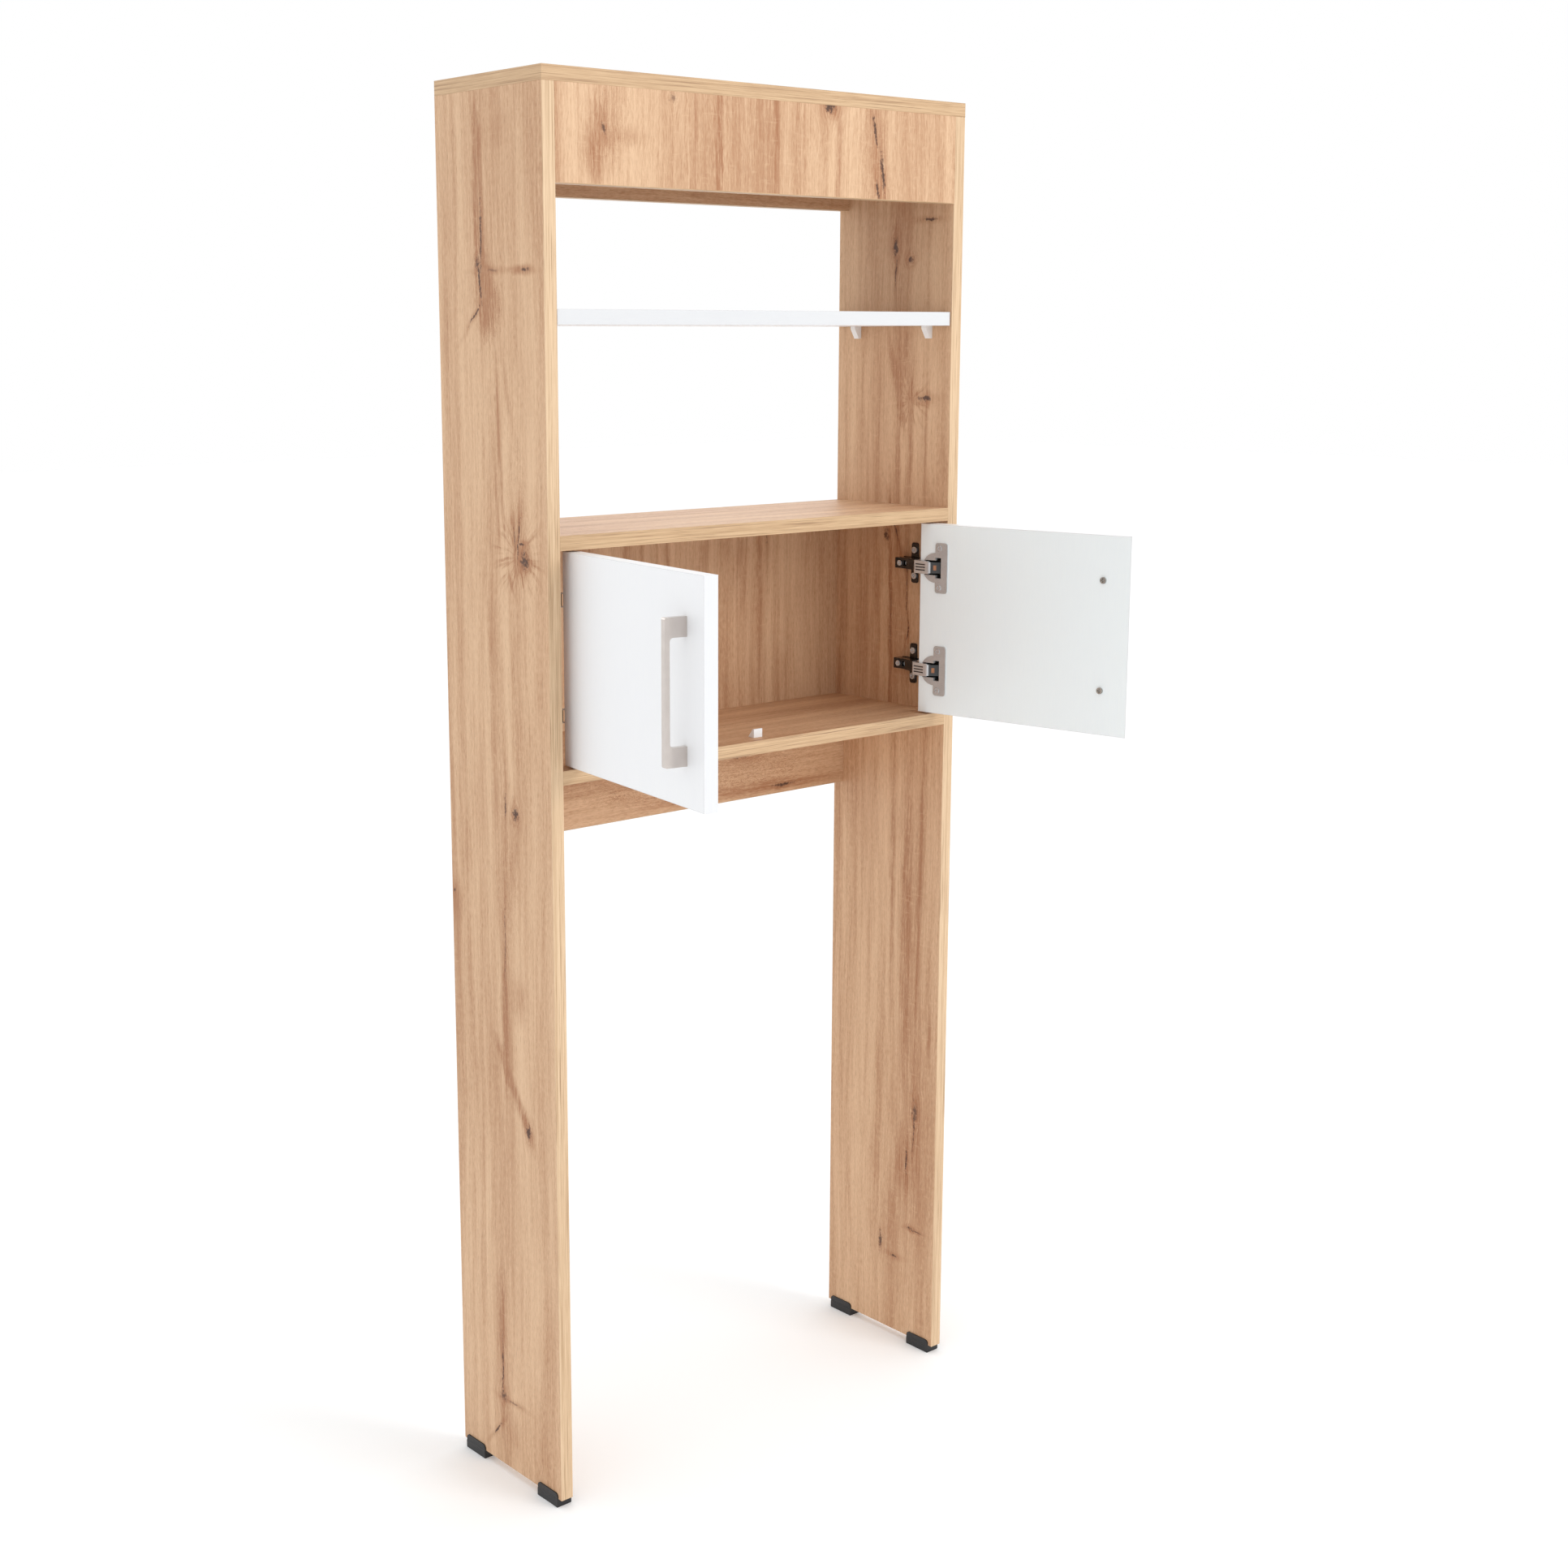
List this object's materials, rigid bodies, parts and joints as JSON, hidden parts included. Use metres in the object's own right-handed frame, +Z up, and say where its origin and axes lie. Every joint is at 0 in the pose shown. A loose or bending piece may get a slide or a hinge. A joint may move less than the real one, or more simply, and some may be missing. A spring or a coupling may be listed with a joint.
{
  "type": "over the toilet storage rack",
  "caption": "Tall narrow storage rack that stands astride a toilet, with open shelves above a two-door cupboard and a fascia under the top board.",
  "frame": {"origin": "on the floor, under the middle of the box that the rack fills with its doors standing open; the front edges of the side panels are at y = 36.9 mm", "axes": "+X to the right as seen by a person who faces the doors, +Y towards the wall, +Z up"},
  "size_m": [0.6876, 0.4698, 1.585],
  "materials": {
    "oak_board": "oak-pattern melamine on particle board, silk, grain along the longest side",
    "oak_banding": "oak-pattern plastic banding, satin",
    "white_board": "white melamine with a faint wood-pore emboss, satin",
    "white_banding": "white plastic banding, satin",
    "black_plastic": "moulded black plastic, satin",
    "white_plastic": "moulded white plastic",
    "beech": "turned beech, fluted, unfinished",
    "satin_nickel": "satin nickel plate on zinc alloy",
    "dark_nickel": "dark nickel plate on pressed steel",
    "bright_nickel": "bright nickel plate",
    "spring_bronze": "bronze-coloured spring strip",
    "zinc_screw": "bright zinc plate"
  },
  "bodies": {
    "frame": {"side_panel_left": "oak_board", "side_panel_right": "oak_board", "top_panel": "oak_board", "fascia_board": "oak_board", "upper_back_rail": "oak_board", "lower_back_rail": "oak_board", "fixed_shelf": "oak_board", "cabinet_floor": "oak_board", "adjustable_shelf": "white_board", "back_panel": "oak_board", "side_edge_bands": "oak_banding", "top_edge_bands": "oak_banding", "board_edge_bands": "oak_banding", "shelf_edge_bands": "white_banding", "foot_front_left": "black_plastic", "foot_front_right": "black_plastic", "foot_rear_left": "black_plastic", "foot_rear_right": "black_plastic", "foot_screws": "zinc_screw", "shelf_pins": "white_plastic", "door_stop": "white_plastic", "cam_locks": "zinc_screw", "cam_bolts": "zinc_screw", "dowels": "beech", "back_panel_nails": "zinc_screw", "hinge_plate_left_upper": "dark_nickel", "hinge_plate_left_lower": "dark_nickel", "hinge_plate_right_upper": "dark_nickel", "hinge_plate_right_lower": "dark_nickel", "hinge_arm_left_upper": "dark_nickel", "hinge_arm_left_lower": "dark_nickel", "hinge_arm_right_upper": "dark_nickel", "hinge_arm_right_lower": "dark_nickel", "hinge_plate_screws": "zinc_screw", "hinge_arm_screws": "zinc_screw", "hinge_arm_pins": "zinc_screw"},
    "door_left": {"door_panel_left": "white_board", "door_edge_bands_left": "white_banding", "handle_left": "satin_nickel", "handle_screws_left": "zinc_screw", "hinge_cup_left_upper": "bright_nickel", "hinge_cup_left_lower": "bright_nickel", "cup_screws_left": "zinc_screw", "cup_pins_left": "zinc_screw", "cup_springs_left": "spring_bronze"},
    "door_right": {"door_panel_right": "white_board", "door_edge_bands_right": "white_banding", "handle_right": "satin_nickel", "handle_screws_right": "zinc_screw", "hinge_cup_right_upper": "bright_nickel", "hinge_cup_right_lower": "bright_nickel", "cup_screws_right": "zinc_screw", "cup_pins_right": "zinc_screw", "cup_springs_right": "spring_bronze"},
    "links_left": {"hinge_link_left_upper": "bright_nickel", "hinge_link_left_lower": "bright_nickel"},
    "links_right": {"hinge_link_right_upper": "bright_nickel", "hinge_link_right_lower": "bright_nickel"}
  },
  "joints": [
    {"name": "door_left_swing", "type": "hinge", "parent": "frame", "child": "door_left", "pos_m": [-0.278, 0.03978, 0.975], "axis": [0, 0, 1], "range_deg": [0, 99]},
    {"name": "door_right_swing", "type": "hinge", "parent": "frame", "child": "door_right", "pos_m": [0.278, 0.03978, 0.975], "axis": [0, 0, -1], "range_deg": [0, 99]},
    {"name": "links_left_turn", "type": "hinge", "parent": "frame", "child": "links_left", "pos_m": [-0.278, 0.06388, 0.975], "axis": [0, 0, 1], "range_deg": [0, 76]},
    {"name": "links_right_turn", "type": "hinge", "parent": "frame", "child": "links_right", "pos_m": [0.278, 0.06388, 0.975], "axis": [0, 0, -1], "range_deg": [0, 76]}
  ],
  "couplings": [
    {"joint": "links_left_turn", "follows": "door_left_swing", "ratio": 0.76768},
    {"joint": "links_right_turn", "follows": "door_right_swing", "ratio": 0.76768}
  ]
}
